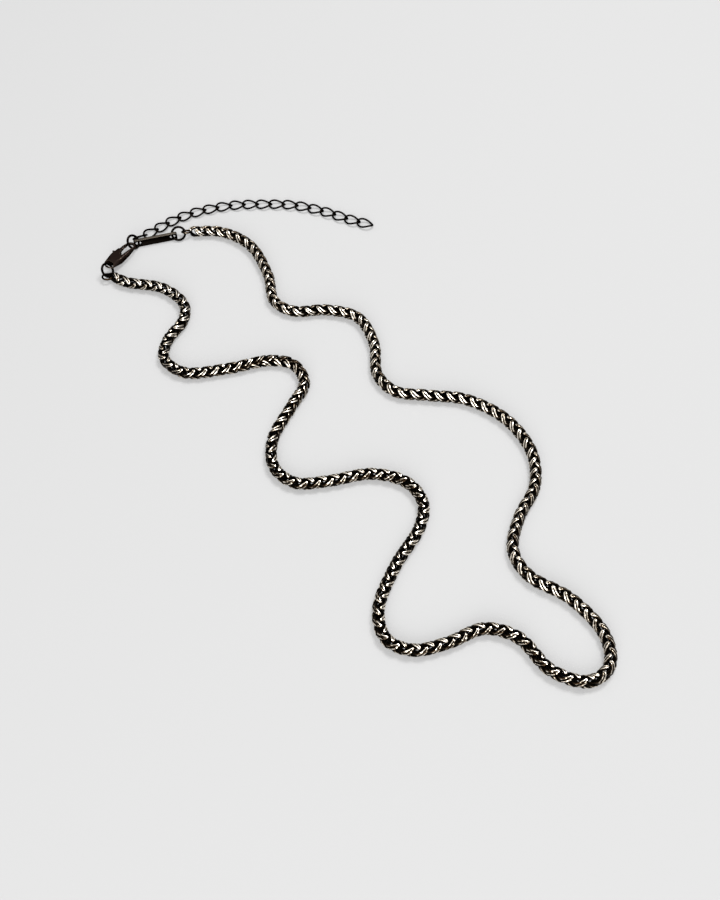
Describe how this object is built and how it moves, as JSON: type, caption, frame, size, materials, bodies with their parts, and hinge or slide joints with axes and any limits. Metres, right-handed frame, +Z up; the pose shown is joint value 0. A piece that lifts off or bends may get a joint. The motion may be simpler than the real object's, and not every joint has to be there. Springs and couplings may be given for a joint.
{
  "type": "wheat chain necklace",
  "caption": "Round wheat chain necklace lying in loose bends, with a lobster clasp, a slim bare bar link and a curb extender chain.",
  "frame": {"origin": "on the surface the necklace lies on, under the middle of its outline", "axes": "+Z up from the surface, +Y along the longer way across the laid-out necklace towards the clasp and extender, +X to the right seen from the front"},
  "size_m": [0.1458, 0.1734, 0.0044],
  "materials": {
    "chain_wire": "burnished antique brass, dark in the recesses and pale where it is worn",
    "end_link_wire": "burnished antique brass",
    "ring_wire": "gunmetal plating, polished",
    "bar_metal": "gunmetal plating, satin",
    "clasp_metal": "gunmetal plating over a cast body, satin",
    "extender_wire": "gunmetal plating, polished"
  },
  "bodies": {
    "necklace": {"chain_left": "chain_wire", "chain_right": "chain_wire", "end_link_left": "end_link_wire", "end_link_right": "end_link_wire", "jump_ring_clasp": "ring_wire", "jump_ring_bar": "ring_wire", "jump_ring_extender": "ring_wire", "bar_link": "bar_metal", "clasp_body": "clasp_metal", "extender_link_01": "extender_wire", "extender_link_02": "extender_wire", "extender_link_03": "extender_wire", "extender_link_04": "extender_wire", "extender_link_05": "extender_wire", "extender_link_06": "extender_wire", "extender_link_07": "extender_wire", "extender_link_08": "extender_wire", "extender_link_09": "extender_wire", "extender_link_10": "extender_wire", "extender_link_11": "extender_wire", "extender_link_12": "extender_wire", "extender_link_13": "extender_wire", "extender_link_14": "extender_wire", "extender_link_15": "extender_wire", "extender_link_16": "extender_wire", "extender_link_17": "extender_wire", "extender_link_18": "extender_wire", "extender_link_19": "extender_wire"},
    "lever": {"clasp_lever": "clasp_metal"}
  },
  "joints": [
    {"name": "lever_hinge", "type": "hinge", "parent": "necklace", "child": "lever", "pos_m": [-0.06883, 0.06028, 0.0023], "axis": [0, 0, 1], "range_deg": [-25, 0], "stiffness_Nm_per_rad": 0.002}
  ]
}
